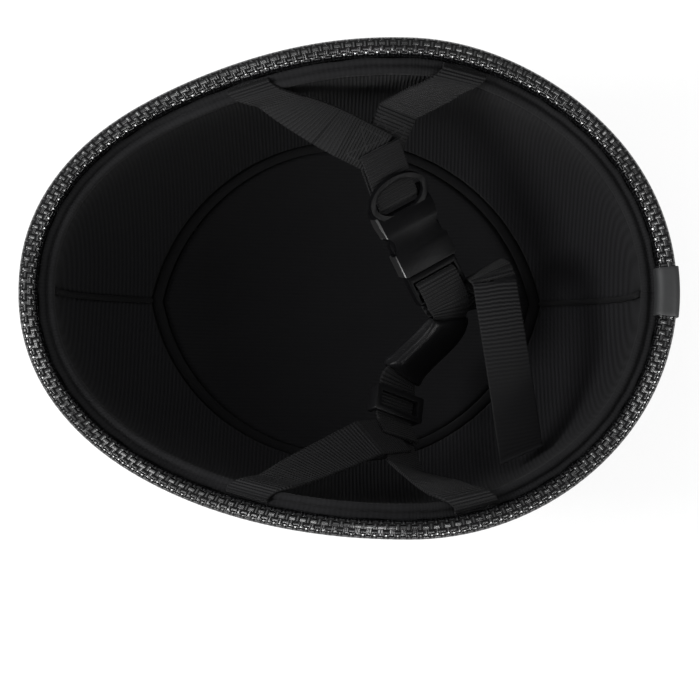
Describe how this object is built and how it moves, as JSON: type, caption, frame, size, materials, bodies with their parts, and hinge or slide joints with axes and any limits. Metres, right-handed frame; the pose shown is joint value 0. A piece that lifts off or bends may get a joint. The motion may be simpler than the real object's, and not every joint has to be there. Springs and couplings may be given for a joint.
{
  "type": "half-face helmet",
  "caption": "Open half-shell riding helmet with foam liner, fabric linings, rubber edge trim and a webbing chin strap with a side-release buckle, stored crown down.",
  "frame": {"origin": "centre of the bounding box in plan, on the plane of the flat that the helmet rests on", "axes": "the helmet lies on its crown: +Z out of the head opening, -X to the brow, +X to the nape, +Y to the wearer's left"},
  "size_m": [0.285, 0.212, 0.1468],
  "materials": {
    "shell": "gloss",
    "foam": "matte",
    "trim": "satin",
    "clip": "satin",
    "knit": "matte",
    "piping": "matte",
    "webbing": "matte",
    "rivet": "satin",
    "washer": "satin",
    "buckle": "satin",
    "pad": "satin"
  },
  "bodies": {
    "helmet": {"outer_shell": "shell", "impact_liner": "foam", "edge_trim": "trim", "trim_clip": "clip", "left_side_lining": "knit", "right_side_lining": "knit", "crown_lining": "knit", "crown_piping": "piping", "lining_hem": "piping", "left_front_strap": "webbing", "left_rear_strap": "webbing", "right_front_strap": "webbing", "right_rear_strap": "webbing", "strap_rivets": "rivet", "rivet_washers": "washer"},
    "chin_assembly": {"male_buckle": "buckle", "chin_strap": "webbing", "chin_pad": "pad"},
    "receiving_half": {"female_buckle": "buckle", "left_yoke_loop": "webbing"},
    "front_latch": {"front_latch": "buckle"},
    "rear_latch": {"rear_latch": "buckle"},
    "loose_tail": {"strap_tail": "webbing"},
    "slider": {"strap_slider": "buckle"}
  },
  "joints": [
    {"name": "strap_lift", "type": "slide", "parent": "helmet", "child": "chin_assembly", "axis": [0, 0, 1], "range_m": [0, 0.08], "deforming": ["left_front_strap", "left_rear_strap", "right_front_strap", "right_rear_strap"]},
    {"name": "buckle_release", "type": "slide", "parent": "chin_assembly", "child": "receiving_half", "axis": [-0.4401, 0.8652, 0.2401], "range_m": [0, 0.022], "deforming": ["left_front_strap", "left_rear_strap", "front_latch", "rear_latch"]},
    {"name": "front_latch_press", "type": "hinge", "parent": "chin_assembly", "child": "front_latch", "pos_m": [0.02854, 0.01123, 0.08419], "axis": [-0.2918, 0.115, -0.9495], "range_deg": [0, 11], "stiffness_Nm_per_rad": 0.4},
    {"name": "rear_latch_press", "type": "hinge", "parent": "chin_assembly", "child": "rear_latch", "pos_m": [0.04213, 0.01904, 0.08096], "axis": [0.2918, -0.115, 0.9495], "range_deg": [0, 11], "stiffness_Nm_per_rad": 0.4},
    {"name": "tail_lift", "type": "hinge", "parent": "chin_assembly", "child": "loose_tail", "pos_m": [0.06484, 0.00784, 0.08549], "axis": [-0.9646, -0.1556, 0.2128], "range_deg": [0, 60]},
    {"name": "slider_adjust", "type": "slide", "parent": "chin_assembly", "child": "slider", "axis": [0.1018, 0.9468, -0.3054], "range_m": [0, 0.003]}
  ]
}
